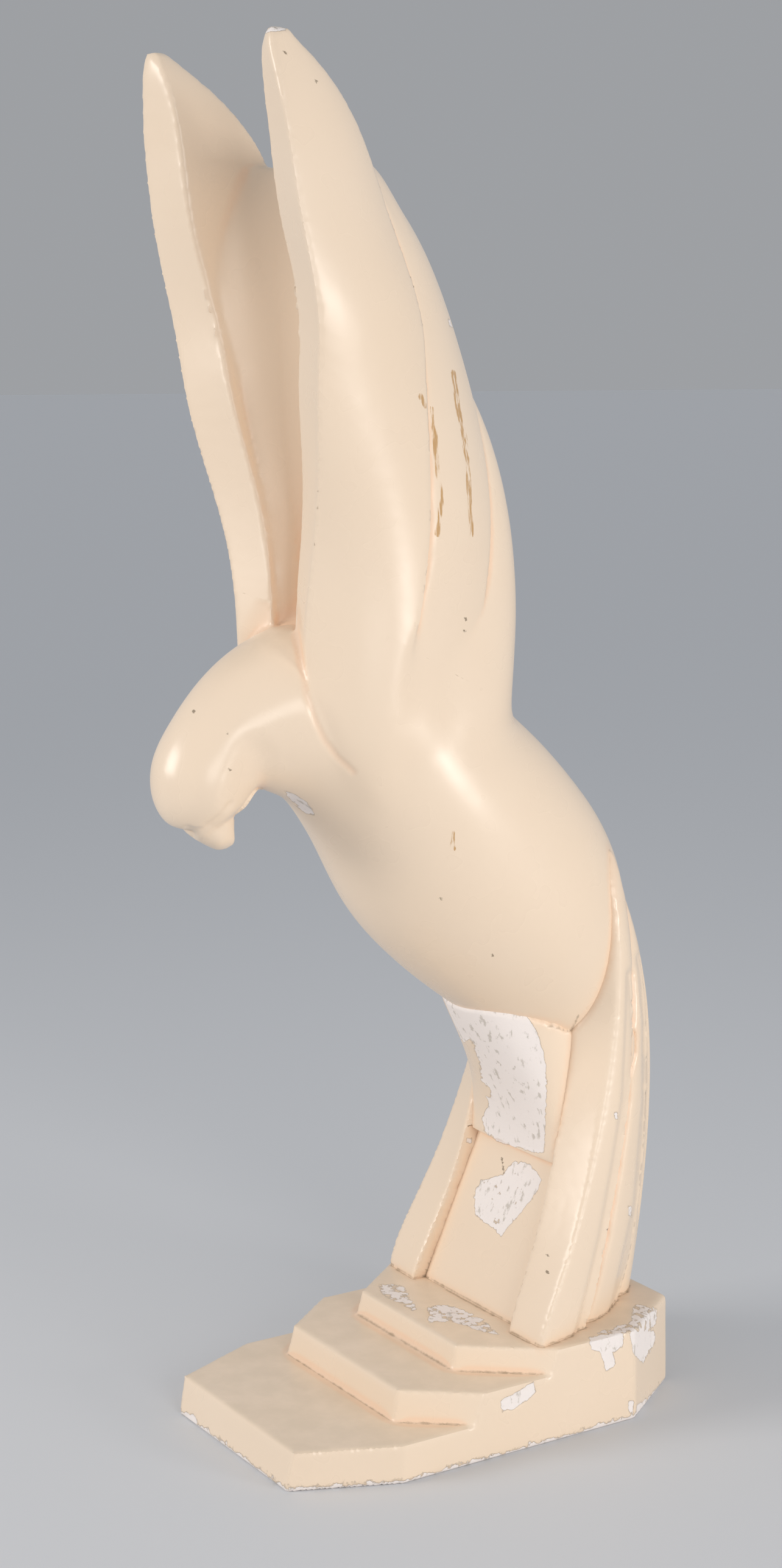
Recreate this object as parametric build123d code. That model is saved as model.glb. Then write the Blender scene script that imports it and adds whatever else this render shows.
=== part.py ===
import os
from math import cos, radians, sin, tan

from build123d import *

# A plaster bird with raised wings, cast in pieces and pinned together over a stepped plinth.
# Millimetres, +Z up. The bird looks along -Y and its left side is +X.
# The origin is the middle of the plinth's underside.

# Plinth: a long octagon in plan with three steps that face the front
plinth_length = 199
plinth_width = 128
plinth_front_width = 90
plinth_rear_width = 76
front_corner_depth = 44
rear_corner_depth = 38
first_tier_height = 16.5
second_tier_height = 13
third_tier_height = 10.5
second_step_setback = 52.5
second_step_width = 86
third_step_setback = 85
third_step_width = 76
step_flare = 38
riser_lean = 12
wall_draft = 0.6
plinth_corner_radius = 3
plinth_top = first_tier_height + second_tier_height + third_tier_height

# Every place below is a distance left of the middle, a distance behind it and a rise above the plinth.

# Bird: rings across the spine from vent to nape and brow.
# Each has its place, its rise, its tilt back from upright, its half width and its half depth.
vent_tip = (81.5, 113)
spine_rings = (
    (69, 124, 41, 38, 29),
    (59.5, 148.5, 46, 41.5, 39.5),
    (41, 174, 50, 48, 50.5),
    (20, 197, 52, 49, 54.5),
    (2, 217, 49, 49, 53),
    (-15, 236, 43, 48, 48),
    (-39, 257, 26, 43, 43.5),
    (-65, 266, 6, 34, 36.5),
    (-85, 263.5, -12, 26.5, 29.5),
    (-97.5, 257.5, -27, 22, 24),
    (-105, 248.8, -42, 21, 22),
    (-110.5, 239.5, -60, 20.5, 20),
    (-112, 231, -80, 17, 16),
    (-111.5, 224.5, -88, 10.5, 10.5),
)
brow_tip = (-111, 220.5)
beak_rings = (
    (-106, 229, -70, 10.5, 11),
    (-104.5, 221.5, -76, 9, 9.3),
    (-101, 216.8, -80, 5.6, 6),
)
beak_tip = (-99, 213.6)

# Left wing, leading feather: rise, front ridge, inner edge of the front facet, rear edge, its thickness,
# swell
leading_feather = (
    (200, (22, -38), (9, -36), (32, -26), 6, 2),
    (240, (31, -59), (10, -55), (41, -44), 6, 2.5),
    (280, (27, -76.5), (9, -70), (47.5, -43), 6, 5),
    (320, (31, -77.5), (10, -71), (48, -35), 6, 6),
    (360, (44, -81.5), (19, -74), (47.5, -32.5), 6, 5),
    (400, (54, -87), (27.5, -80.5), (45.5, -33.5), 6, 5),
    (440, (58.5, -93), (34, -87.5), (43, -41), 6, 5),
    (480, (57, -100), (34, -95.5), (40.5, -56), 5, 4.5),
    (500, (54.5, -103), (34.5, -98.5), (43, -69), 4, 3.5),
    (514, (51, -105), (38, -102), (46.5, -86), 2.5, 1.5),
    (520.5, (49.5, -104), (43, -102), (48, -95), 1, 0.5),
)
# Both wings, middle feathers and the web between them: rise, trough floor, trough side,
# start under the leading feather, rear edge, swell, back
middle_feather = (
    (240, -64, (10, -66), (34, -48), (40, -20), 1, 0),
    (272, -64, (12, -68), (45, -50), (40, -11.5), 2, 0),
    (320, -63, (12.5, -70.5), (46, -42), (33, 4.5), 3, 10),
    (360, -62, (21.5, -73.5), (45.5, -39), (28, 7), 4, 16),
    (400, -61, (30, -80), (43.5, -40), (20, 2), 4, 8),
    (440, -59.5, (36, -87), (41, -47), (20, -14.5), 4, -10),
    (464, -58, (37, -80), (39.5, -53), (20, -31), 2, -27),
    (480, -57, (37.5, -67), (40, -57), (20, -51), 0.5, -50.5),
)
# Both wings, rear feather: rise, start under the middle feathers, back
rear_feather = (
    (240, (42, -22), 27),
    (290, (38, -10), 31),
    (320, (31.5, -4), 32.5),
    (350, (28, -2), 28),
    (380, (22, -2), 18),
    (405, (12, -6), 4),
)
# How broad a trough is, and how far a rounded back runs straight and then broad, as shares of its span
trough_breadth = 0.85
back_straightness = 0.7
back_breadth = 0.6

# Tail, left flank feather: rise, inner front edge, ridge, rear edge, swell
flank_feather = (
    (0, (36.5, 14), (58.5, 15.5), (51, 44.5), 1),
    (35, (33.7, 28.5), (56.5, 30.5), (50, 56), 1),
    (70, (31.5, 39.5), (52.3, 45), (47.5, 65.5), 1.5),
    (105, (31, 46), (48.8, 55.5), (44.5, 72.5), 2),
    (140, (33, 50), (47, 62), (40.5, 75.5), 2),
    (172, (35, 51.5), (46, 61.5), (39, 73.5), 1.5),
    (203, (26, 60), (35, 64), (32, 69), 0.5),
)
# Tail, second feathers: rise, start under the flank feather, rear edge, swell
second_feather = (
    (0, (49, 38), (33, 75.5), 3),
    (60, (46, 57), (33, 88.5), 3),
    (120, (41, 68), (31, 91), 3),
    (150, (35, 74), (29, 88.5), 2.5),
    (178, (24, 74), (20, 86), 1.5),
)
# Tail, middle feather: rise, start under the second feathers, back
tail_spine = (
    (0, (31, 70), 96),
    (60, (31, 82), 103),
    (120, (29.5, 85), 103.5),
    (150, (27, 82), 99.5),
    (178, (19, 78), 93),
)

# Leg column between the flanks: rise, half width of the gap, front at the sides, front in the middle, back
panel_rows = (
    (0, 36.5, 20.5, 20, 40),
    (67, 31, 46.5, 46, 60),
)
block_rows = (
    (67, 31, 42.5, 41, 61),
    (82, 31, 44.5, 38.5, 64),
    (100, 31, 47, 31, 67.5),
    (135, 30.5, 54, 11, 72),
    (143, 30, 56, 7, 73),
)
column_rebate = 1.2

# Seat of the wings on the back, by its front and rear places and rises
seat_front = (-88, 318)
seat_rear = (36, 255)

# Armature: a bent rod up the column and straight wires up the tail and the wings, in close sockets
rod_diameter = 6
wire_diameter = 4
socket_clearance = 0.15
rod_bend_radius = 30
rod_foot = (0, 22, -24)
rod_bend = (0, 51, 60)
rod_head = (0, 51, 165)
tail_wire_foot = (0, 66, -18)
tail_wire_head = (0, 82, 165)
wing_wire_foot = (25, -19, 210)
wing_wire_head = (45, -67, 440)


def above_plinth(x, y, rise):
    return Vector(x, y, plinth_top + rise)


def across(point):
    return Vector(-point.X, point.Y, point.Z)


def swollen_arc(start, end, swell):
    along = end - start
    outward = Vector(along.Y, -along.X, 0).normalized()
    return ThreePointArc(start, (start + end) * 0.5 + outward * swell, end)


def rounded_end(start, middle):
    lead = Vector(0, (middle.Y - start.Y) * back_straightness, 0)
    spread = Vector(start.X * back_breadth, 0, 0)
    left = Bezier(start, start + lead, middle + spread, middle)
    right = Bezier(middle, middle - spread, across(start) + lead, across(start))
    return [left, right]


def octagon():
    front = -plinth_length / 2
    rear = plinth_length / 2
    left_side = [
        (plinth_front_width / 2, front),
        (plinth_width / 2, front + front_corner_depth),
        (plinth_width / 2, rear - rear_corner_depth),
        (plinth_rear_width / 2, rear),
    ]
    right_side = [(-x, y) for x, y in reversed(left_side)]
    outline = make_face(Polyline(*left_side, *right_side, close=True))
    return fillet(outline.vertices(), plinth_corner_radius)


def step_wedge(setback, front_width, flare, base, height):
    front = -plinth_length / 2 + setback
    run = 2 * plinth_length
    spread = run * tan(radians(flare))
    corners = [
        (front_width / 2, front),
        (front_width / 2 + spread, front + run),
        (-front_width / 2 - spread, front + run),
        (-front_width / 2, front),
    ]
    outline = make_face(Polyline(*corners, close=True))
    return Pos(0, 0, base) * extrude(outline, amount=height, taper=riser_lean)


def stepped_plinth():
    mass = extrude(octagon(), amount=plinth_top, taper=wall_draft)
    second_base = first_tier_height
    third_base = first_tier_height + second_tier_height
    first = step_wedge(0, 2 * plinth_width, 0, 0, first_tier_height)
    second = step_wedge(second_step_setback, second_step_width, step_flare, second_base, second_tier_height)
    third = step_wedge(third_step_setback, third_step_width, step_flare, third_base, third_tier_height)
    return (mass & first) + (mass & second) + (mass & third)


def ring(y, rise, tilt, half_width, half_depth):
    spine = (0, -cos(radians(tilt)), sin(radians(tilt)))
    return Plane(above_plinth(0, y, rise), x_dir=(1, 0, 0), z_dir=spine) * Ellipse(half_width, half_depth)


def bird():
    vent = Vertex(*above_plinth(0, *vent_tip))
    brow = Vertex(*above_plinth(0, *brow_tip))
    trunk = loft([vent] + [ring(*row) for row in spine_rings] + [brow])
    beak = loft([ring(*row) for row in beak_rings] + [Vertex(*above_plinth(0, *beak_tip))])
    return trunk + beak


def leading_section(rise, ridge, inner, rear, thickness, swell):
    ridge, inner, rear = (above_plinth(*point, rise) for point in (ridge, inner, rear))
    hidden = rear - Vector(thickness, 0, 0)
    outer = swollen_arc(ridge, rear, swell)
    return make_face([Line(inner, ridge), outer, Line(rear, hidden), Line(hidden, inner)])


def middle_section(rise, floor, side, start, rear, swell, back):
    # The trough's curve reaches its floor in the middle when its handles lie this much deeper.
    handle_depth = (4 * floor - side[1]) / 3
    deep, back = (above_plinth(0, y, rise) for y in (handle_depth, back))
    side, start, rear = (above_plinth(*point, rise) for point in (side, start, rear))
    reach = Vector(side.X * trough_breadth, 0, 0)
    return make_face([
        Bezier(across(side), deep - reach, deep + reach, side),
        Line(side, start),
        swollen_arc(start, rear, swell),
        ThreePointArc(rear, back, across(rear)),
        swollen_arc(across(rear), across(start), swell),
        Line(across(start), across(side)),
    ])


def rear_section(rise, start, back):
    start = above_plinth(*start, rise)
    return make_face([Line(across(start), start)] + rounded_end(start, above_plinth(0, back, rise)))


def wings():
    leading = loft([leading_section(*row) for row in leading_feather])
    middle = loft([middle_section(*row) for row in middle_feather])
    rear = loft([rear_section(*row) for row in rear_feather])
    return middle + rear + leading + mirror(leading, about=Plane.YZ)


def flank_section(rise, inner, ridge, rear, swell):
    inner, ridge, rear = (above_plinth(*point, rise) for point in (inner, ridge, rear))
    heart = Vector(inner.X, rear.Y, rear.Z)
    outer = swollen_arc(ridge, rear, swell)
    return make_face([Line(inner, ridge), outer, Line(rear, heart), Line(heart, inner)])


def second_section(rise, start, rear, swell):
    start, rear = (above_plinth(*point, rise) for point in (start, rear))
    return make_face([
        Line(across(start), start),
        swollen_arc(start, rear, swell),
        Line(rear, across(rear)),
        swollen_arc(across(rear), across(start), swell),
    ])


def tail():
    flank = loft([flank_section(*row) for row in flank_feather])
    second = loft([second_section(*row) for row in second_feather])
    spine = loft([rear_section(*row) for row in tail_spine])
    return spine + second + flank + mirror(flank, about=Plane.YZ)


def column_section(rise, gap_half_width, side_front, mid_front, back):
    side = gap_half_width + column_rebate
    left_front = above_plinth(side, side_front, rise)
    left_back = above_plinth(side, back, rise)
    front = rounded_end(left_front, above_plinth(0, mid_front, rise))
    walls = Polyline(across(left_front), across(left_back), left_back, left_front)
    return make_face(front + list(walls.edges()))


def column():
    panel = loft([column_section(*row) for row in panel_rows], ruled=True)
    block = loft([column_section(*row) for row in block_rows])
    return panel + block


def bar(path, diameter):
    return sweep(Plane(path @ 0, z_dir=path % 0) * Circle(diameter / 2), path=path)


def rod(diameter):
    corners = [above_plinth(*point) for point in (rod_foot, rod_bend, rod_head)]
    return bar(FilletPolyline(*corners, radius=rod_bend_radius), diameter)


def wire(foot, head, diameter):
    return bar(Line(above_plinth(*foot), above_plinth(*head)), diameter)


def seat_plane():
    front = above_plinth(0, *seat_front)
    rear = above_plinth(0, *seat_rear)
    return Plane(front, x_dir=(1, 0, 0), z_dir=Vector(1, 0, 0).cross(rear - front))


def figure():
    rod_socket = rod(rod_diameter + 2 * socket_clearance)
    tail_socket = wire(tail_wire_foot, tail_wire_head, wire_diameter + 2 * socket_clearance)
    wing_socket = wire(wing_wire_foot, wing_wire_head, wire_diameter + 2 * socket_clearance)
    wing_sockets = wing_socket + mirror(wing_socket, about=Plane.YZ)
    trunk = bird()
    wing_pair = wings()
    seat = seat_plane()
    body = trunk + split(wing_pair, bisect_by=seat, keep=Keep.BOTTOM)
    raised = split(wing_pair, bisect_by=seat, keep=Keep.TOP) - trunk
    left_wing = split(raised, bisect_by=Plane.YZ, keep=Keep.TOP) - wing_socket
    left_wire = wire(wing_wire_foot, wing_wire_head, wire_diameter)
    leg = column()
    return {
        "stepped_plinth": stepped_plinth() - rod_socket - tail_socket,
        "leg_column": leg - body - rod_socket,
        "tail_fan": tail() - leg - body - tail_socket,
        "bird_body": body - rod_socket - tail_socket - wing_sockets,
        "left_wing": left_wing,
        "right_wing": mirror(left_wing, about=Plane.YZ),
        "column_rod": rod(rod_diameter),
        "tail_wire": wire(tail_wire_foot, tail_wire_head, wire_diameter),
        "left_wing_wire": left_wire,
        "right_wing_wire": mirror(left_wire, about=Plane.YZ),
    }


if __name__ == "__main__":
    os.makedirs("parts", exist_ok=True)
    for node, shape in figure().items():
        export_step(shape, f"parts/{node}.step")
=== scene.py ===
import math

import bmesh
import bpy
import numpy as np
from mathutils import Matrix, Vector
from mathutils.bvhtree import BVHTree
from mathutils.kdtree import KDTree


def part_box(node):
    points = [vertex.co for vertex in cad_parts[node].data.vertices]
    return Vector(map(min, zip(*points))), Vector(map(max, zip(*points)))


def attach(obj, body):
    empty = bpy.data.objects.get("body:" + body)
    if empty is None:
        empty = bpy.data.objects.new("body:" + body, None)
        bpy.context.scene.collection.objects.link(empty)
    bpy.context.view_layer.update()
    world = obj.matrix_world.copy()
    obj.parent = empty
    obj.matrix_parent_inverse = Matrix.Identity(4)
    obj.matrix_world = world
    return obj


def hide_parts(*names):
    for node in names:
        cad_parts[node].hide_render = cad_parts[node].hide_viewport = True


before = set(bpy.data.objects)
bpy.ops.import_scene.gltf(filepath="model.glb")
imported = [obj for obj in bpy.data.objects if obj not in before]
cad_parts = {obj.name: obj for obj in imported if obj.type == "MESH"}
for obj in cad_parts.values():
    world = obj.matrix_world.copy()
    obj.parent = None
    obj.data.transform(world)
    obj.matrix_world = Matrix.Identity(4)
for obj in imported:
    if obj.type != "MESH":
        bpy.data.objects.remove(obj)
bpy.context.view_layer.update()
bpy.context.scene.view_settings.view_transform = "Standard"
mm = 0.001
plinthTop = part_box("stepped_plinth")[1][2]


# Camera, at the photograph's viewing angle
photo = {
    "size": (1284, 2576),  # pixels
    "focal": 4134.4,  # pixels
    "azimuth": 57.344,
    "elevation": 9.548,
    "eye": (858.98, -571.21, 444.03),  # mm
    "pixel": 0.25,  # mm at the object
    "sensor": 36,  # mm, the camera's frame height
}


def cameraAxes():
    turn = math.radians(photo["azimuth"])
    rise = math.radians(photo["elevation"])
    right = Vector((math.cos(turn), math.sin(turn), 0))
    back = Vector((math.sin(turn) * math.cos(rise), -math.cos(turn) * math.cos(rise), math.sin(rise)))
    return right, back.cross(right), back


def addCamera():
    right, up, back = cameraAxes()
    camera = bpy.data.objects.new("photoCamera", bpy.data.cameras.new("photoCamera"))
    camera.data.sensor_fit = "VERTICAL"
    camera.data.sensor_height = photo["sensor"]
    camera.data.lens = photo["focal"] * photo["sensor"] / photo["size"][1]
    camera.data.clip_start = 0.01
    turned = Matrix((right, up, back)).transposed().to_4x4()
    camera.matrix_world = Matrix.Translation(Vector(photo["eye"]) * mm) @ turned
    bpy.context.scene.collection.objects.link(camera)
    bpy.context.scene.camera = camera


# Working tools
def pickOnly(*pieces):
    bpy.ops.object.select_all(action="DESELECT")
    for piece in pieces:
        piece.select_set(True)
    bpy.context.view_layer.objects.active = pieces[-1]


def applyModifier(piece, kind, **settings):
    pickOnly(piece)
    modifier = piece.modifiers.new(kind.lower(), kind)
    for name, value in settings.items():
        setattr(modifier, name, value)
    bpy.ops.object.modifier_apply(modifier=modifier.name)


def editAll(piece, *steps):
    pickOnly(piece)
    bpy.ops.object.mode_set(mode="EDIT")
    bpy.ops.mesh.select_all(action="SELECT")
    for operator, settings in steps:
        operator(**settings)
    bpy.ops.object.mode_set(mode="OBJECT")


def addPiece(name, mesh):
    piece = bpy.data.objects.new(name, mesh)
    mesh.name = name
    bpy.context.scene.collection.objects.link(piece)
    return piece


def castCopy(nodeName):
    piece = addPiece(nodeName + "Cast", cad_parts[nodeName].data.copy())
    piece.data.materials.clear()
    editAll(piece, (bpy.ops.mesh.remove_doubles, {"threshold": 0.01 * mm}))
    return piece


def readArray(collection, name, width, kind=float):
    values = np.empty(len(collection) * width, kind)
    collection.foreach_get(name, values)
    return values.reshape(-1, width)


def readSpots(piece):
    return readArray(piece.data.vertices, "co", 3) / mm


def riseOf(piece):  # mm above the plinth's top
    return readSpots(piece)[:, 2] - plinthTop / mm


def moveSpots(piece, spots):
    piece.data.vertices.foreach_set("co", (spots * mm).ravel())
    piece.data.update()


def smoothStep(values, low, high):
    share = np.clip((values - low) / (high - low), 0, 1)
    return share * share * (3 - 2 * share)


def keepLargest(piece):
    name = piece.name
    editAll(piece, (bpy.ops.mesh.separate, {"type": "LOOSE"}))
    shells = sorted(bpy.context.selected_objects, key=lambda shell: len(shell.data.vertices))
    for shell in shells[:-1]:
        bpy.data.objects.remove(shell)
    shells[-1].name = name
    return shells[-1]


# How a casting is remeshed; lengths are shares of its voxel
mending = {
    "sharpAngle": 30,  # degrees
    "spotSpacing": 0.25,
    "snapReach": 1.05,
    "mergeShare": 0.35,  # of the snapping reach, as the next
    "thinShare": 0.05,
    "calmFrom": 1,
    "calmTo": 3,
    "calmTurns": 4,
    "leastWeight": 0.01,
}


# Spots close together along the sharp edges of a casting
def sharpSpots(piece, spacing):
    mesh = bmesh.new()
    mesh.from_mesh(piece.data)
    spots = []
    for edge in mesh.edges:
        if len(edge.link_faces) == 2 and edge.calc_face_angle() > math.radians(mending["sharpAngle"]):
            start, end = (vertex.co for vertex in edge.verts)
            steps = math.ceil((end - start).length / (spacing * mm))
            spots += [start.lerp(end, step / steps) for step in range(steps + 1)]
    mesh.free()
    return spots


# Brings the nearest vertices onto the sharp edges, and returns how far each vertex lies from one, in mm
def snapToEdges(piece, edgeSpots, reach):
    tree = KDTree(len(edgeSpots))
    for index, spot in enumerate(edgeSpots):
        tree.insert(spot, index)
    tree.balance()
    for vertex in piece.data.vertices:
        spot, found, distance = tree.find(vertex.co)
        if distance < reach * mm:
            vertex.co = spot
    editAll(
        piece,
        (bpy.ops.mesh.remove_doubles, {"threshold": mending["mergeShare"] * reach * mm}),
        (bpy.ops.mesh.dissolve_degenerate, {"threshold": mending["thinShare"] * reach * mm}),
    )
    return np.array([tree.find(vertex.co)[2] for vertex in piece.data.vertices]) / mm


def weld(name, pieces, voxel, softening):
    edgeSpots = []
    for piece in pieces:
        edgeSpots += sharpSpots(piece, mending["spotSpacing"] * voxel)
    pickOnly(*pieces)
    if len(pieces) > 1:
        bpy.ops.object.join()
    joined = bpy.context.view_layer.objects.active
    joined.name = name
    settings = {"mode": "VOXEL", "voxel_size": voxel * mm, "adaptivity": 0, "use_smooth_shade": True}
    applyModifier(joined, "REMESH", **settings)
    joined = keepLargest(joined)
    distances = snapToEdges(joined, edgeSpots, mending["snapReach"] * voxel)
    applyModifier(joined, "SMOOTH", factor=0.5, iterations=softening)
    calm = smoothStep(distances, mending["calmFrom"] * voxel, mending["calmTo"] * voxel)
    soften(joined, calm, mending["calmTurns"])
    return joined


def soften(piece, weights, turns):
    group = piece.vertex_groups.new(name="softened")
    for index in np.nonzero(weights > mending["leastWeight"])[0]:
        group.add([int(index)], float(weights[index]), "REPLACE")
    applyModifier(piece, "SMOOTH", factor=0.5, iterations=turns, vertex_group=group.name)
    piece.vertex_groups.clear()


def surfaceOf(piece):
    corners = [vertex.co for vertex in piece.data.vertices]
    return BVHTree.FromPolygons(corners, [face.vertices for face in piece.data.polygons])


# A casting's contact face goes a little way into what carries it, so that no slit shows round the joint
def bed(piece, carrier, reach, depth):
    surface = surfaceOf(carrier)
    spots = readSpots(piece)
    for index, vertex in enumerate(piece.data.vertices):
        nearest, normal, face, distance = surface.find_nearest(vertex.co, reach * mm)
        if nearest is not None:
            share = 1 - smoothStep(distance / mm, stand["bedFull"] * reach, reach)
            spots[index] -= np.array(normal) * depth * share
    moveSpots(piece, spots)


def keepSide(piece, through, away):
    cut = {"plane_co": through, "plane_no": away, "use_fill": True, "clear_outer": True}
    editAll(
        piece,
        (bpy.ops.mesh.bisect, cut),
        (bpy.ops.mesh.select_all, {"action": "SELECT"}),
        (bpy.ops.mesh.normals_make_consistent, {"inside": False}),
    )


# What the photograph shows on the surface is placed by its pixels, on the side that faces the camera
def pixelsOf(spots):
    away = spots - np.array(photo["eye"])
    right, up, back = (np.array(axis) for axis in cameraAxes())
    scale = photo["focal"] / -(away @ back)
    across = photo["size"][0] / 2 + scale * (away @ right)
    down = photo["size"][1] / 2 - scale * (away @ up)
    return np.stack((across, down), axis=1)


def pathDistance(pixels, path):
    distances = []
    for start, end in zip(path, path[1:]):
        along = np.array(end) - start
        share = np.clip((pixels - start) @ along / (along @ along), 0, 1)
        distances.append(np.linalg.norm(pixels - start - share[:, None] * along, axis=1))
    return np.min(distances, axis=0)


def depthInside(pixels, outline):
    closed = outline + outline[:1]
    inside = np.zeros(len(pixels), bool)
    for (x0, y0), (x1, y1) in zip(closed, closed[1:]):
        if y0 != y1:
            crosses = (y0 > pixels[:, 1]) != (y1 > pixels[:, 1])
            inside ^= crosses & (pixels[:, 0] < x0 + (pixels[:, 1] - y0) * (x1 - x0) / (y1 - y0))
    distance = pathDistance(pixels, closed)
    return np.where(inside, distance, -distance)


def readNormals(piece):
    return readArray(piece.data.vertices, "normal", 3)


def facesCamera(piece):
    toEye = np.array(photo["eye"]) - readSpots(piece)
    return (readNormals(piece) * toEye).sum(axis=1) > 0


def writeMask(piece, name, values):
    layer = piece.data.attributes.new(name, "FLOAT", "POINT")
    layer.data.foreach_set("value", np.asarray(values, np.float32))


# Lost paint: millimetres inside the edge of each patch; a patch with a small cover is only broken scuffs
def losePaint(piece, patches, depth):
    pixels = pixelsOf(readSpots(piece))
    loss = np.full(len(pixels), -wear["reach"])
    for outline, cover in patches:
        inside = depthInside(pixels, outline) * photo["pixel"]
        loss = np.maximum(loss, np.minimum(inside, cover))
    loss = np.where(facesCamera(piece), loss, -wear["reach"])
    loss = np.maximum(loss, wear["footLoss"] - wear["footFade"] * readSpots(piece)[:, 2])
    recess = depth * smoothStep(loss, *wear["flakeEdge"])
    moveSpots(piece, readSpots(piece) - readNormals(piece) * recess[:, None])
    writeMask(piece, "paintLoss", loss)


def markPaths(piece, name, paths, width):
    pixels = pixelsOf(readSpots(piece))
    nearest = np.full(len(pixels), np.inf)
    for path in paths:
        nearest = np.minimum(nearest, pathDistance(pixels, path) * photo["pixel"])
    mask = 1 - smoothStep(nearest, wear["markCore"] * width, width)
    writeMask(piece, name, np.where(facesCamera(piece), mask, 0))


# How deep each spot lies in a hollow of the surface, in millimetres
def hollowness(piece, turns):
    spots = readSpots(piece)
    edges = readArray(piece.data.edges, "vertices", 2, np.int32)
    first, second = edges[:, 0], edges[:, 1]
    count = len(spots)
    links = np.bincount(first, minlength=count) + np.bincount(second, minlength=count)
    eased = spots.copy()
    for turn in range(turns):
        for axis in range(3):
            line = eased[:, axis]
            around = np.bincount(first, line[second], count) + np.bincount(second, line[first], count)
            eased[:, axis] = 0.5 * line + 0.5 * around / links
    return ((eased - spots) * readNormals(piece)).sum(axis=1)


def gapTo(piece, others, reach):
    gaps = np.full(len(piece.data.vertices), reach)
    spots = readSpots(piece)
    for other in others:
        surface = surfaceOf(other)
        otherSpots = readSpots(other)
        low, high = otherSpots.min(axis=0) - reach, otherSpots.max(axis=0) + reach
        for index in np.nonzero(((spots > low) & (spots < high)).all(axis=1))[0]:
            nearest = surface.find_nearest(piece.data.vertices[index].co, reach * mm)
            if nearest[0] is not None:
                gaps[index] = min(gaps[index], nearest[3] / mm)
    return gaps


# How near each spot lies to a line of the photograph or to its mirror image; the reach is in mm
def nearLine(piece, path, reach):
    side = np.where(readSpots(piece)[:, :1] < 0, (-1, 1, 1), (1, 1, 1))
    spots = readSpots(piece) * side
    seen = (readNormals(piece) * side * (np.array(photo["eye"]) - spots)).sum(axis=1) > 0
    return (1 - smoothStep(pathDistance(pixelsOf(spots), path) * photo["pixel"], 0, reach)) * seen


# Presses a soft line into a casting, or raises one where the depth is negative; lengths in mm
def pressLine(piece, path, reach, depth):
    share = nearLine(piece, path, reach)
    moveSpots(piece, readSpots(piece) - readNormals(piece) * (depth * share)[:, None])


# Cuts the hollows of a casting deeper, so that its grooves read as crisp lines
def deepen(piece, turns, amount, weights):
    cut = np.clip(hollowness(piece, turns), 0, None) * amount * weights
    moveSpots(piece, readSpots(piece) - readNormals(piece) * cut[:, None])


# Painted warm shade: the peach of light bounced between cream faces, in hollows, at joints and along the
# groove at the leading feather's foot; grime is the dirt line in low corners
def markHollows(piece, others):
    wide = hollowness(piece, wear["wideTurns"])
    fine = hollowness(piece, wear["fineTurns"])
    gaps = gapTo(piece, others, wear["nearReach"])
    # painted warm shade: deepest in wide hollows, near joints with other pieces and along the leading
    # feather's groove
    joint = wear["jointShadeTint"] * (1 - smoothStep(gaps, wear["touch"], wear["nearReach"]))
    peachShade = wear["grooveShadeTint"] * nearLine(piece, leadingFoot["line"], wear["grooveShadeReach"])
    hollow = smoothStep(wide, *wear["warmShadeDepth"])
    writeMask(piece, "paintedWarmShade", np.maximum.reduce((hollow, joint, peachShade)))
    spots = readSpots(piece)
    low = 1 - smoothStep(spots[:, 2], *wear["grimeHeight"])
    touching = 1 - smoothStep(gaps, wear["touch"], wear["grimeReach"])
    corner = np.maximum(smoothStep(fine, *wear["grimeDepth"]), touching)
    fromVent = pathDistance(pixelsOf(spots), wear["ventDirt"]) * photo["pixel"]
    vent = 1 - smoothStep(fromVent, *wear["ventReach"])
    writeMask(piece, "grime", np.maximum(corner * low, vent * facesCamera(piece)))


# Casting pits, each a short dash in the photograph
def dotsAt(places):
    return [[(x, y), (x + 2, y + 2)] for x, y in places]


print("start", len(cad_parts), "nodes")
addCamera()

# Bird: body and wings are welded in one skin, so that the wing roots flow into the back, and then parted
# again along their joints
bird = {
    "voxel": 1.1,
    "softening": 4,
    "seatFront": (-88, 318),  # mm along Y and above the plinth's top, on the joint under the wings
    "seatRear": (36, 255),
    "rootRise": (215, 240, 275, 305),  # the feather feet fade into the back between these rises
    "grooveBehind": (-62, -50),  # and only behind the groove along the leading feather's foot
    "grooveRise": (242, 256),
    "rootBehind": (-75, -55),
    "rootTurns": 160,
    # inner edge of the leading feather's front facet: rise, left of the middle, behind the middle
    "innerEdge": ((280, 9, -70), (320, 10, -71), (360, 19, -74), (400, 27.5, -80.5), (440, 34, -87.5),
                  (480, 34, -95.5), (514, 38, -102)),
    "mouthSide": (-4, 0),  # mm inside the facet's inner edge, and behind it
    "mouthFront": (-3, 0),
    "mouthRise": (295, 315),
    "troughBehind": (-58, -28),  # the sinking fades out between these places, over the web's crest
    "troughTop": (470, 500),
    "troughSink": 14,  # mm that the trough's floor lies behind the cast web
    "troughTurns": 150,
    "washBehind": (-34, -26),  # the trough's wall is washed smooth as far back as this, up to the notch
    "washTop": (455, 480),
    "washEdge": (-3, 9),  # mm inside the facet's inner edge, which stays crisp
    "washFacing": (0, 0.3),  # how far the wall faces forward
    "tipRise": (490, 520),
    "tipLift": 3,
    "tipTurns": 40,
    "featherRise": (285, 330),  # the creases between the wing feathers are cut deeper above this
    "featherBehind": -60,
    "featherTurns": 25,
    "featherShare": 1.0,
}
birdCasts = [castCopy(name) for name in ("bird_body", "left_wing", "right_wing")]
skin = weld("birdSkin", birdCasts, bird["voxel"], bird["softening"])
print("skin", len(skin.data.vertices), "vertices")

spots = readSpots(skin)
rise = riseOf(skin)
startLow, startHigh, endLow, endHigh = bird["rootRise"]
roots = smoothStep(rise, startLow, startHigh) * (1 - smoothStep(rise, endLow, endHigh))
groove = smoothStep(rise, *bird["grooveRise"]) * (1 - smoothStep(spots[:, 1], *bird["grooveBehind"]))
soften(skin, roots * (1 - groove) * smoothStep(spots[:, 1], *bird["rootBehind"]), bird["rootTurns"])

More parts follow.
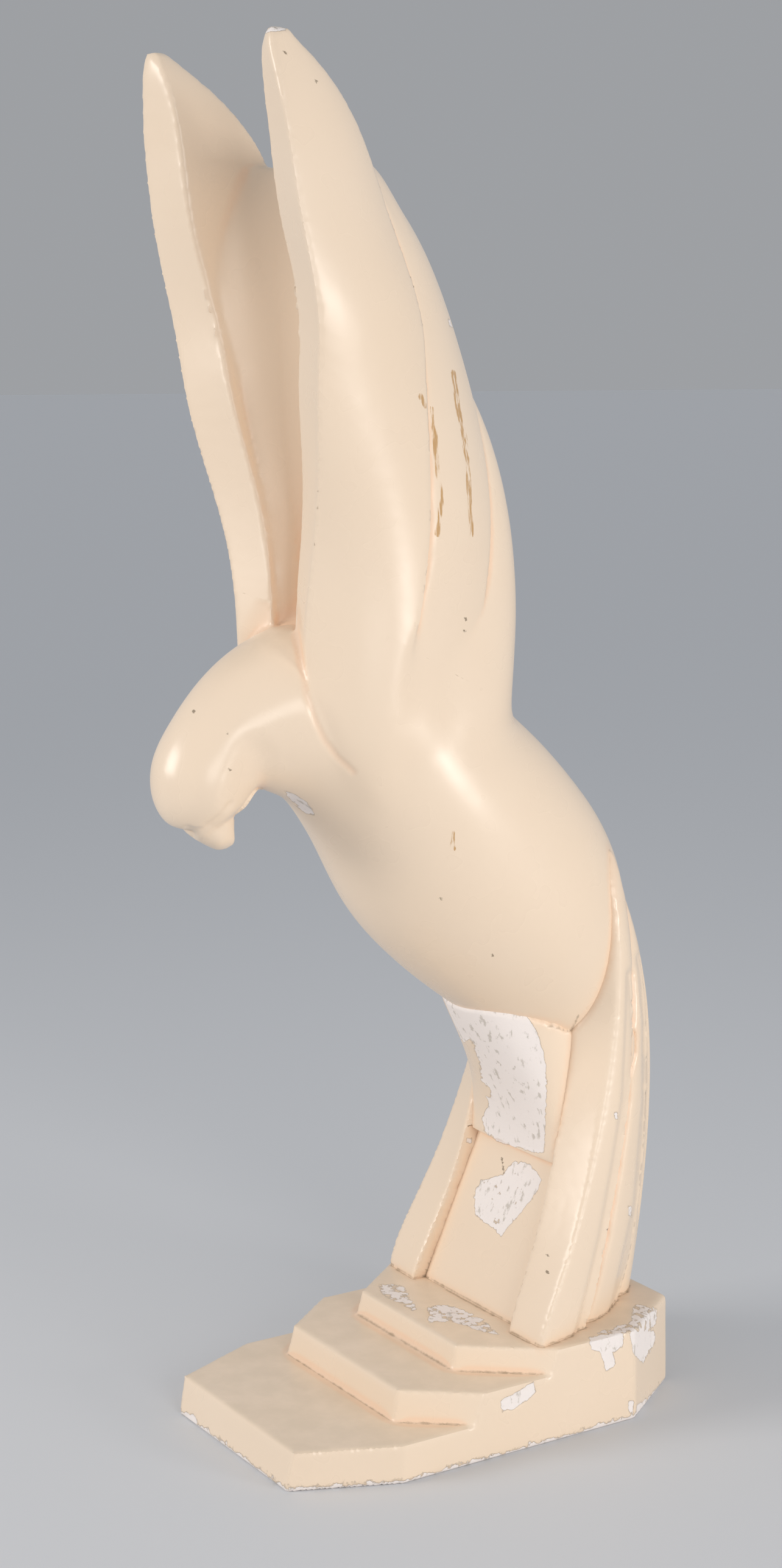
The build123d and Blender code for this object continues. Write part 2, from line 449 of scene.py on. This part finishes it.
spots = readSpots(skin)
edgeRise, edgeLeft, edgeBehind = np.array(bird["innerEdge"]).T
rise = riseOf(skin)
within = np.interp(rise, edgeRise, edgeLeft) - np.abs(spots[:, 0])
behind = spots[:, 1] - np.interp(rise, edgeRise, edgeBehind)
mouth = smoothStep(within, *bird["mouthSide"]) * smoothStep(behind, *bird["mouthFront"])
mouth *= smoothStep(rise, *bird["mouthRise"])
trough = mouth * (1 - smoothStep(spots[:, 1], *bird["troughBehind"]))
trough *= 1 - smoothStep(rise, *bird["troughTop"])
wash = mouth * (1 - smoothStep(spots[:, 1], *bird["washBehind"]))
wash *= 1 - smoothStep(rise, *bird["washTop"])
wash *= smoothStep(-readNormals(skin)[:, 1], *bird["washFacing"])
middle = 1 - np.clip(np.abs(spots[:, 0]) / np.interp(rise, edgeRise, edgeLeft), 0, 1) ** 2
spots[:, 1] += bird["troughSink"] * trough * middle
tips = smoothStep(rise, *bird["tipRise"])
spots[:, 2] += bird["tipLift"] * tips
moveSpots(skin, spots)
soften(skin, np.maximum(trough, wash) * smoothStep(within, *bird["washEdge"]), bird["troughTurns"])
soften(skin, tips, bird["tipTurns"])

# Head and neck: hollow behind the cheek, ridge along the neck's side, crease over the beak
face = {  # name: line in the photograph's pixels, reach and depth in mm
    "cheekHollow": ([(416, 1240), (412, 1272), (398, 1312)], 12, 1.6),
    "neckRidge": ([(394, 1211), (440, 1182), (487, 1154)], 18, -1.3),
    "beakCrease": ([(308, 1361), (320, 1364), (333, 1362), (347, 1353), (363, 1341), (379, 1321)],
                   2, 0.8),
    "beakFront": ([(332, 1374), (356, 1384)], 6, -2),
}
for line, reach, depth in face.values():
    pressLine(skin, line, reach, depth)

# Groove round the leading feather's foot
leadingFoot = {
    "line": [(486, 1002), (492, 1071), (503, 1140), (519, 1186), (534, 1217), (553, 1243), (580, 1268)],
    "softReach": 8,
    "softTurns": 16,
    "reach": 2.2,
    "depth": 0.5,
}
soften(skin, nearLine(skin, leadingFoot["line"], leadingFoot["softReach"]), leadingFoot["softTurns"])
pressLine(skin, leadingFoot["line"], leadingFoot["reach"], leadingFoot["depth"])
print("wing roots and trough softened")

# Plinth, with edges worn round
plinth = {
    "voxel": 1.0,
    "softening": 5,
    "rearBehind": (55, 80),  # mm; the rear is worn more, above its foot
    "rearRise": (10, 30),
    "rearTurns": 25,
    "undersideFacing": -0.9,
}
steppedPlinth = weld("steppedPlinth", [castCopy("stepped_plinth")], plinth["voxel"], plinth["softening"])
spots = readSpots(steppedPlinth)
rear = smoothStep(spots[:, 1], *plinth["rearBehind"]) * smoothStep(spots[:, 2], *plinth["rearRise"])
soften(steppedPlinth, rear, plinth["rearTurns"])
print(steppedPlinth.name, len(steppedPlinth.data.vertices), "vertices")

# Leg column and tail, each bedded in the plinth and the body
stand = {
    "voxel": 1.1,
    "softening": 4,
    "bedReach": 1.4,  # mm
    "bedDepth": 2,
    "bedFull": 0.4,  # share of the reach within which a spot goes in by the whole depth
    "grooveTurns": 40,
    "grooveShare": 1.2,
    "grooveSoftening": 3,
    "tailTop": (130, 165),  # mm above the plinth; the tail's upper end fades into the back
    "tailTurns": 12,
}
legColumn = weld("legColumn", [castCopy("leg_column")], stand["voxel"], stand["softening"])
tailFan = weld("tailFan", [castCopy("tail_fan")], stand["voxel"], stand["softening"])
for piece, carriers in ((legColumn, (skin, steppedPlinth)), (tailFan, (skin, steppedPlinth, legColumn))):
    for carrier in carriers:
        bed(piece, carrier, stand["bedReach"], stand["bedDepth"])
    print(piece.name, len(piece.data.vertices), "vertices")

grooves = {  # name: line in the photograph's pixels, reach and depth in mm
    "flankRear": ([(1038, 1601), (1035, 1697), (1030, 1809), (1013, 1921), (993, 2033), (959, 2174),
                   (950, 2200)], 3.6, 1.6),
    "secondRear": ([(1052, 1573), (1063, 1674), (1063, 1809), (1049, 1977), (1014, 2137), (1005, 2165)],
                   3, 1.3),
}
for line, reach, depth in grooves.values():
    pressLine(tailFan, line, reach, depth)
deepen(tailFan, stand["grooveTurns"], stand["grooveShare"], np.ones(len(tailFan.data.vertices)))
applyModifier(tailFan, "SMOOTH", factor=0.5, iterations=stand["grooveSoftening"])
soften(tailFan, smoothStep(riseOf(tailFan), *stand["tailTop"]), stand["tailTurns"])
feathers = smoothStep(riseOf(skin), *bird["featherRise"])
feathers *= readSpots(skin)[:, 1] > bird["featherBehind"]
deepen(skin, bird["featherTurns"], bird["featherShare"], feathers)

# Wear and dirt; outlines and lines are in the photograph's pixels, lengths in mm
wear = {
    "reach": 4,  # round a patch in which its edge is known
    "footLoss": 0.6,  # at the plinth's lower edge, where the paint is rubbed off all round
    "footFade": 0.35,  # less for each mm of height
    "flakeEdge": (-0.3, 0.7),  # the recess starts outside a flake's edge and is full inside it
    "markCore": 0.25,  # share of a mark's width that is full
    "wideTurns": 60,
    "fineTurns": 10,
    # painted warm shade: the hollow depths where it starts and is full, and its strength at joints and
    # along the groove
    "warmShadeDepth": (0.15, 1.0),
    "touch": 0.2,  # a gap that counts as closed
    "nearReach": 4,
    "jointShadeTint": 0.5,
    "grooveShadeReach": 3,
    "grooveShadeTint": 0.6,
    "grimeDepth": (0.2, 0.6),
    "grimeReach": 0.9,
    "grimeHeight": (45, 60),
    "ventDirt": [(900, 1686), (937, 1694), (950, 1668)],
    "ventReach": (0.2, 1.1),
}
whole, thin, broken = 6, 0.45, 0.15  # cover: bare plaster, many scuffs, few scuffs
birdWear = {
    "patches": [
        ([(466, 1298), (488, 1308), (504, 1320), (519, 1340), (500, 1336), (480, 1318)], whole),  # chest
        ([(420, 36), (472, 40), (470, 50), (440, 52), (424, 57)], whole),  # wing tip
        ([(736, 524), (746, 526), (744, 538), (738, 536)], whole),  # rear edge of the wing
    ],
    "depth": 0.25,
    "goldStains": [
        [(690, 650), (700, 668)],
        [(710, 672), (714, 720), (718, 770), (726, 815), (722, 846), (718, 878)],
        [(744, 612), (752, 670), (763, 722), (768, 779), (772, 830), (773, 878)],
        [(743, 1368), (744, 1394)],
    ],
    "stainWidth": 2.4,
    "pits": [(723, 1475), (807, 1568), (764, 1016), (762, 1036), (376, 1263), (372, 1204), (317, 1168),
             (467, 85), (519, 133)],
    "pitWidth": 1.3,
}
columnWear = {
    "patches": [
        # block under the belly
        ([(712, 1608), (800, 1630), (845, 1645), (872, 1678), (886, 1705), (894, 1737), (897, 1779),
          (896, 1834), (893, 1893), (877, 1893), (854, 1886), (817, 1875), (794, 1857), (792, 1838),
          (801, 1815), (799, 1802), (808, 1804), (803, 1788), (792, 1776), (787, 1747), (780, 1724),
          (771, 1708), (762, 1712), (738, 1692)], whole),
        # panel below it
        ([(778, 1967), (789, 1939), (826, 1930), (847, 1907), (872, 1914), (888, 1939), (881, 1958),
          (863, 1981), (838, 2013), (822, 2030), (810, 2017), (789, 2004), (780, 1994)], thin),
    ],
    "depth": 0.35,
    "panelCrack": [(824, 1902), (826, 1918), (828, 1932)],
    "crackWidth": 0.9,
}
tailWear = {
    "patches": [
        ([(766, 1870), (774, 1871), (773, 1879), (767, 1878)], whole),  # far flank
        ([(769, 1929), (777, 1928), (776, 1938), (770, 1937)], whole),
        ([(1008, 1826), (1015, 1826), (1014, 1838), (1009, 1836)], whole),  # feathers
        ([(1032, 1982), (1037, 1983), (1037, 1999), (1032, 1997)], whole),
    ],
    "depth": 0.3,
    "pits": [(898, 2061), (898, 2089)],
    "pitWidth": 1.3,
}
plinthWear = {
    "patches": [
        # rear corner
        ([(967, 2197), (1024, 2188), (1021, 2214), (1005, 2222), (1010, 2239), (996, 2254), (986, 2222),
          (971, 2216)], whole),
        ([(1033, 2188), (1075, 2186), (1075, 2205), (1056, 2239), (1041, 2225)], whole),
        ([(982, 2190), (1036, 2172), (1041, 2143), (1079, 2150), (1078, 2175), (1058, 2190)], broken),
        # lower edge
        ([(1033, 2300), (1041, 2302), (1040, 2320), (1032, 2318)], whole),
        ([(1046, 2308), (1062, 2298), (1060, 2310), (1046, 2322)], whole),
        ([(1004, 2342), (1030, 2330), (1031, 2340), (1006, 2352)], whole),
        ([(980, 2346), (992, 2342), (992, 2358), (980, 2362)], whole),
        ([(940, 2356), (956, 2354), (957, 2368), (940, 2374)], whole),
        ([(868, 2376), (890, 2370), (892, 2384), (868, 2392)], whole),
        ([(300, 2322), (318, 2322), (326, 2340), (306, 2344)], whole),
        # corner of the steps
        ([(822, 2301), (878, 2270), (880, 2287), (850, 2312), (825, 2320)], whole),
        # top
        ([(620, 2110), (660, 2110), (684, 2150), (676, 2152), (650, 2138), (632, 2130)], broken),
        ([(702, 2148), (735, 2143), (790, 2165), (817, 2192), (795, 2188), (740, 2170), (704, 2172)],
         broken),
    ],
    "depth": 0.5,
}
losePaint(skin, birdWear["patches"], birdWear["depth"])
losePaint(legColumn, columnWear["patches"], columnWear["depth"])
losePaint(tailFan, tailWear["patches"], tailWear["depth"])
losePaint(steppedPlinth, plinthWear["patches"], plinthWear["depth"])
spots = readSpots(steppedPlinth)
underside = readNormals(steppedPlinth)[:, 2] < plinth["undersideFacing"]
spots[underside, 2] = 0  # stays flat on the shelf
moveSpots(steppedPlinth, spots)
markPaths(skin, "stain", birdWear["goldStains"], birdWear["stainWidth"])
markPaths(skin, "pit", dotsAt(birdWear["pits"]), birdWear["pitWidth"])
markPaths(legColumn, "pit", [columnWear["panelCrack"]], columnWear["crackWidth"])
markPaths(tailFan, "pit", dotsAt(tailWear["pits"]), tailWear["pitWidth"])
markHollows(skin, (tailFan, legColumn))
markHollows(legColumn, (skin, tailFan, steppedPlinth))
markHollows(tailFan, (skin, legColumn, steppedPlinth))
markHollows(steppedPlinth, (legColumn, tailFan))
print("wear marked")

# The bird is parted at the seat under the wings and down the middle between them
frontY, frontRise = bird["seatFront"]
rearY, rearRise = bird["seatRear"]
seat = Vector((0, frontY * mm, frontRise * mm + plinthTop))
acrossSeat = Vector((0, frontRise - rearRise, rearY - frontY)).normalized()
leftWing = addPiece("leftWing", skin.data.copy())
keepSide(leftWing, seat, -acrossSeat)
rightWing = addPiece("rightWing", leftWing.data.copy())
keepSide(leftWing, (0, 0, 0), (-1, 0, 0))
keepSide(rightWing, (0, 0, 0), (1, 0, 0))
birdBody = skin
birdBody.name = "birdBody"
keepSide(birdBody, seat, acrossSeat)

smoothAngle = 50  # degrees between faces that shade as one
castings = {
    birdBody: "bird_body",
    leftWing: "left_wing",
    rightWing: "right_wing",
    legColumn: "leg_column",
    tailFan: "tail_fan",
    steppedPlinth: "stepped_plinth",
}
for piece, node in castings.items():
    pickOnly(piece)
    bpy.ops.object.shade_smooth_by_angle(angle=math.radians(smoothAngle))
    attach(piece, "root")
    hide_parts(node)
    print(piece.name, len(piece.data.polygons), "faces")


# Materials
def linear(hexColour):
    parts = [int(hexColour[place:place + 2], 16) / 255 for place in (1, 3, 5)]
    return [part / 12.92 if part <= 0.04045 else ((part + 0.055) / 1.055) ** 2.4 for part in parts] + [1]


def perSize(size):  # a pattern's scale from its size in mm
    return 1 / (size * mm)


def addNode(tree, kind, settings, links):
    node = tree.nodes.new("ShaderNode" + kind)
    for name, value in settings.items():
        if isinstance(name, str) and hasattr(node, name):
            setattr(node, name, value)
        else:
            node.inputs[name].default_value = value
    for name, source in links.items():
        tree.links.new(source, node.inputs[name])
    return node.outputs


def newMaterial(name):
    material = bpy.data.materials.new(name)
    material.use_nodes = True
    return material, material.node_tree, material.node_tree.nodes["Principled BSDF"]


# Cream cellulose lacquer brushed over cast gypsum plaster: a soft satin gloss, with painted warm shade
# in hollows, dull with dust on ledges, with crisp flakes gone to the chalky white plaster, and a painted
# shadow along the flakes' edges
coat = {  # patterns by their size in mm; a range says where a mark starts, is full and how strong it is
    "creams": {6: linear("#F4E0C9"), 7: linear("#F0DAC0")},
    "clouds": {"Scale": perSize(80), "Detail": 2},
    # painted warm shade: the peach colour of light bounced between cream faces
    "peachShade": {7: linear("#F6CBA8")},
    "peachShadeRange": {"From Min": 0, "From Max": 1, "To Max": 0.45},
    "dust": {7: linear("#BFB299")},
    "ledgeRange": {"From Min": 0.6, "From Max": 0.98, "To Max": 0.22},  # how far upward a face looks
    "drifts": {"Scale": perSize(14), "Detail": 4},
    "driftRange": {"From Min": 0.2, "From Max": 0.7},
    "speck": {7: linear("#8C6F48")},
    "cells": {"Scale": perSize(20)},
    "chosenRange": {"From Min": 0.74, "From Max": 0.76},  # a quarter of the cells hold a speck
    "speckRange": {"From Min": 0.03, "From Max": 0.015},  # shares of a cell
    "speckStrength": {1: 0.6},
    # mark: colour, its pattern's size, detail and stretch along Z, and the three numbers of its range
    "soiling": {
        "pit": ("#6B5A42", 1.2, 3, 1, 0.3, 0.5, 0.75),
        "stain": ("#BC8C46", 1.4, 4, 0.12, 0.4, 0.55, 0.8),
        "grime": ("#7D6A4C", 4, 5, 1, 0.2, 0.7, 0.6),
    },
    "flakes": {"Scale": perSize(4), "Detail": 6},
    "flakeMiddle": {1: 0.5},
    "flakeWander": {1: 3},  # mm
    "lostRange": {"From Min": -0.06, "From Max": 0.06},
    "plaster": {6: linear("#F4ECE7"), 7: linear("#C2BAAF")},  # clean and scuffed
    "scuffStretch": {"Scale": (1, 1, 0.5)},
    "scuffs": {"Scale": perSize(3.2), "Detail": 5},
    "scuffRange": {"From Min": 0.56, "From Max": 0.66, "To Max": 0.75},
    # painted shadow: the dark line on the kept paint where it steps down to the plaster
    "rimShadow": {7: linear("#8B795F")},
    "rimShadowRange": {"From Min": -0.35, "From Max": -0.06, "To Max": 0.35},
    "keptRange": {"From Min": 0.06, "From Max": -0.06},
    "films": {"Scale": perSize(24), "Detail": 2},
    "filmRange": {"From Min": 0.3, "From Max": 0.7, "To Max": 0.06},
    "lostDullness": {1: 0.55},
    "dirtDullness": {1: 0.35},
    "leastRoughness": {1: 0.26},
    "thickness": {1: -0.25},  # mm, as the other heights
    "ripples": {"Scale": perSize(18), "Detail": 2},
    "rippleHeight": {1: 0.1},
    "grit": {"Scale": perSize(1.5), "Detail": 4},
    "gritHeight": {1: 0.12},
}


def creamLacquer():
    material, tree, shader = newMaterial("brushedCreamLacquerOnPlaster")
    colours = {"data_type": "RGBA"}
    eased = {"interpolation_type": "SMOOTHSTEP"}
    grain = {"Roughness": 0.6}
    plus = {"operation": "ADD"}
    minus = {"operation": "SUBTRACT"}
    times = {"operation": "MULTIPLY"}
    greater = {"operation": "MAXIMUM"}
    place = addNode(tree, "TexCoord", {}, {})["Object"]
    marks = {}
    for name in ("paintLoss", "paintedWarmShade", "grime", "stain", "pit"):
        marks[name] = addNode(tree, "Attribute", {"attribute_name": name}, {})["Fac"]

    # cream with slow clouds, and painted warm shade in hollows, at joints and along the groove
    cloud = addNode(tree, "TexNoise", grain | coat["clouds"], {"Vector": place})[0]
    tone = addNode(tree, "Mix", colours | coat["creams"], {0: cloud})[2]
    peachShade = addNode(tree, "MapRange", eased | coat["peachShadeRange"], {"Value": marks["paintedWarmShade"]})[0]
    tone = addNode(tree, "Mix", colours | coat["peachShade"], {0: peachShade, 6: tone})[2]

    # dust on ledges
    normal = addNode(tree, "NewGeometry", {}, {})["Normal"]
    upward = addNode(tree, "SeparateXYZ", {}, {0: normal})[2]
    ledge = addNode(tree, "MapRange", eased | coat["ledgeRange"], {"Value": upward})[0]
    drift = addNode(tree, "TexNoise", grain | coat["drifts"], {"Vector": place})[0]
    drift = addNode(tree, "MapRange", eased | coat["driftRange"], {"Value": drift})[0]
    dust = addNode(tree, "Math", times, {0: ledge, 1: drift})[0]
    tone = addNode(tree, "Mix", colours | coat["dust"], {0: dust, 6: tone})[2]

    # small brown specks
    cells = addNode(tree, "TexVoronoi", coat["cells"], {"Vector": place})
    drawn = addNode(tree, "SeparateColor", {}, {0: cells["Color"]})[0]
    chosen = addNode(tree, "MapRange", eased | coat["chosenRange"], {"Value": drawn})[0]
    speck = addNode(tree, "MapRange", eased | coat["speckRange"], {"Value": cells["Distance"]})[0]
    speck = addNode(tree, "Math", times, {0: speck, 1: chosen})[0]
    speck = addNode(tree, "Math", times | coat["speckStrength"], {0: speck})[0]
    tone = addNode(tree, "Mix", colours | coat["speck"], {0: speck, 6: tone})[2]

    # pits, stains and dirt, broken up by their own patterns
    soiled = {}
    for name, (colour, size, detail, stretch, low, high, strength) in coat["soiling"].items():
        streaks = addNode(tree, "Mapping", {"Scale": (1, 1, stretch)}, {"Vector": place})[0]
        pattern = grain | {"Scale": perSize(size), "Detail": detail}
        mottle = addNode(tree, "TexNoise", pattern, {"Vector": streaks})[0]
        mottle = addNode(tree, "Math", times, {0: marks[name], 1: mottle})[0]
        span = eased | {"From Min": low, "From Max": high, "To Max": strength}
        soiled[name] = addNode(tree, "MapRange", span, {"Value": mottle})[0]
        tone = addNode(tree, "Mix", colours | {7: linear(colour)}, {0: soiled[name], 6: tone})[2]

    # flakes with a ragged edge and a painted shadow along the kept paint's edge, down to scuffed plaster
    ragged = addNode(tree, "TexNoise", grain | coat["flakes"], {"Vector": place})[0]
    ragged = addNode(tree, "Math", minus | coat["flakeMiddle"], {0: ragged})[0]
    ragged = addNode(tree, "Math", times | coat["flakeWander"], {0: ragged})[0]
    edge = addNode(tree, "Math", plus, {0: marks["paintLoss"], 1: ragged})[0]
    lost = addNode(tree, "MapRange", eased | coat["lostRange"], {"Value": edge})[0]
    scratches = addNode(tree, "Mapping", coat["scuffStretch"], {"Vector": place})[0]
    scuffs = addNode(tree, "TexNoise", grain | coat["scuffs"], {"Vector": scratches})[0]
    scuffs = addNode(tree, "MapRange", eased | coat["scuffRange"], {"Value": scuffs})[0]
    chalk = addNode(tree, "Mix", colours | coat["plaster"], {0: scuffs})[2]
    # painted shadow: a dark line just outside each flake, on the kept paint only
    rimShadow = addNode(tree, "MapRange", eased | coat["rimShadowRange"], {"Value": edge})[0]
    kept = addNode(tree, "MapRange", eased | coat["keptRange"], {"Value": edge})[0]
    rimShadow = addNode(tree, "Math", times, {0: rimShadow, 1: kept})[0]
    tone = addNode(tree, "Mix", colours | coat["rimShadow"], {0: rimShadow, 6: tone})[2]
    colour = addNode(tree, "Mix", colours, {0: lost, 6: tone, 7: chalk})[2]
    tree.links.new(colour, shader.inputs["Base Color"])

    # satin, duller on plaster, dust and dirt
    gloss = addNode(tree, "TexNoise", grain | coat["films"], {"Vector": place})[0]
    gloss = addNode(tree, "MapRange", eased | coat["filmRange"], {"Value": gloss})[0]
    bare = addNode(tree, "Math", times | coat["lostDullness"], {0: lost})[0]
    dirty = addNode(tree, "Math", greater, {0: dust, 1: soiled["grime"]})[0]
    dirty = addNode(tree, "Math", times | coat["dirtDullness"], {0: dirty})[0]
    dull = addNode(tree, "Math", greater, {0: bare, 1: dirty})[0]
    rough = addNode(tree, "Math", plus, {0: gloss, 1: dull})[0]
    rough = addNode(tree, "Math", plus | coat["leastRoughness"], {0: rough})[0]
    tree.links.new(rough, shader.inputs["Roughness"])

    # relief: the paint's thickness, brushed ripples, gritty plaster
    paint = addNode(tree, "Math", times | coat["thickness"], {0: lost})[0]
    ripple = addNode(tree, "TexNoise", grain | coat["ripples"], {"Vector": place})[0]
    ripple = addNode(tree, "Math", times | coat["rippleHeight"], {0: ripple})[0]
    grit = addNode(tree, "TexNoise", grain | coat["grit"], {"Vector": place})[0]
    grit = addNode(tree, "Math", times, {0: grit, 1: lost})[0]
    grit = addNode(tree, "Math", times | coat["gritHeight"], {0: grit})[0]
    height = addNode(tree, "Math", plus, {0: paint, 1: ripple})[0]
    height = addNode(tree, "Math", plus, {0: height, 1: grit})[0]
    bump = addNode(tree, "Bump", {"Strength": 1, "Distance": mm}, {"Height": height})[0]
    tree.links.new(bump, shader.inputs["Normal"])
    return material


# Drawn iron rod with a brown rust bloom: dark, dull metal with matt brown patches
armature = {
    "patches": {"Scale": perSize(4), "Detail": 5},
    "rustRange": {"From Min": 0.4, "From Max": 0.6},
    "colours": {"data_type": "RGBA", 6: linear("#57524E"), 7: linear("#6A4329")},  # iron and rust
    "metallic": {"To Min": 1, "To Max": 0},
    "roughness": {"To Min": 0.45, "To Max": 0.9},
}


def rustedIron():
    material, tree, shader = newMaterial("drawnIronWithRust")
    place = addNode(tree, "TexCoord", {}, {})["Object"]
    patches = addNode(tree, "TexNoise", armature["patches"], {"Vector": place})[0]
    rust = addNode(tree, "MapRange", armature["rustRange"], {"Value": patches})[0]
    colour = addNode(tree, "Mix", armature["colours"], {0: rust})[2]
    tree.links.new(colour, shader.inputs["Base Color"])
    metal = addNode(tree, "MapRange", armature["metallic"], {"Value": rust})[0]
    tree.links.new(metal, shader.inputs["Metallic"])
    rough = addNode(tree, "MapRange", armature["roughness"], {"Value": rust})[0]
    tree.links.new(rough, shader.inputs["Roughness"])
    return material


lacquer = creamLacquer()
for piece in castings:
    piece.data.materials.append(lacquer)
iron = rustedIron()
for node in ("column_rod", "tail_wire", "left_wing_wire", "right_wing_wire"):
    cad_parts[node].material_slots[0].material = iron
print("materials on")

# Floor and soft studio light
studio = {
    "floorSize": 60,  # m
    "floorColour": "#DADCDF",
    "floorRoughness": 0.6,
    "aim": (0, 0, 0.3),
    # name: degrees round from the front and up, distance and width in m, watts, colour
    "lamps": {
        "rightSoftbox": (112, 0, 1.6, 0.34, 2.0, "#FFFAF5"),
        "leftSoftbox": (-19, 17, 1.6, 0.7, 3.7, "#FFFAF5"),
        "sideFill": (79, 9, 1.8, 0.8, 2.9, "#FFFAF5"),
    },
    "lampSpread": 100,  # degrees: grids on the softboxes keep their light off the floor below them
    "sky": "#EEF1F6",
    "skyStrength": 0.54,
    "backdropStrength": 0.40,
}
bpy.ops.mesh.primitive_plane_add(size=studio["floorSize"])
ground = bpy.context.object
ground.name = "floor"
floorPaint, floorTree, floorShader = newMaterial("paleStudioFloor")
floorShader.inputs["Base Color"].default_value = linear(studio["floorColour"])
floorShader.inputs["Roughness"].default_value = studio["floorRoughness"]
ground.data.materials.append(floorPaint)
for name, (turn, lift, distance, width, watts, colour) in studio["lamps"].items():
    turn, lift = math.radians(turn), math.radians(lift)
    toward = Vector((math.sin(turn) * math.cos(lift), -math.cos(turn) * math.cos(lift), math.sin(lift)))
    lamp = bpy.data.objects.new(name, bpy.data.lights.new(name, "AREA"))
    lamp.data.energy = watts
    lamp.data.size = width
    lamp.data.spread = math.radians(studio["lampSpread"])
    lamp.data.color = linear(colour)[:3]
    lamp.location = Vector(studio["aim"]) + toward * distance
    lamp.rotation_euler = (-toward).to_track_quat("-Z", "Y").to_euler()
    lamp.visible_camera = False
    bpy.context.scene.collection.objects.link(lamp)
world = bpy.data.worlds.new("studio")
bpy.context.scene.world = world
world.use_nodes = True
sky = world.node_tree.nodes["Background"]
sky.inputs["Color"].default_value = linear(studio["sky"])
seenDirectly = addNode(world.node_tree, "LightPath", {}, {})["Is Camera Ray"]
strengths = {"To Min": studio["skyStrength"], "To Max": studio["backdropStrength"]}
strength = addNode(world.node_tree, "MapRange", strengths, {"Value": seenDirectly})[0]
world.node_tree.links.new(strength, sky.inputs["Strength"])
print("floor and lamps set")
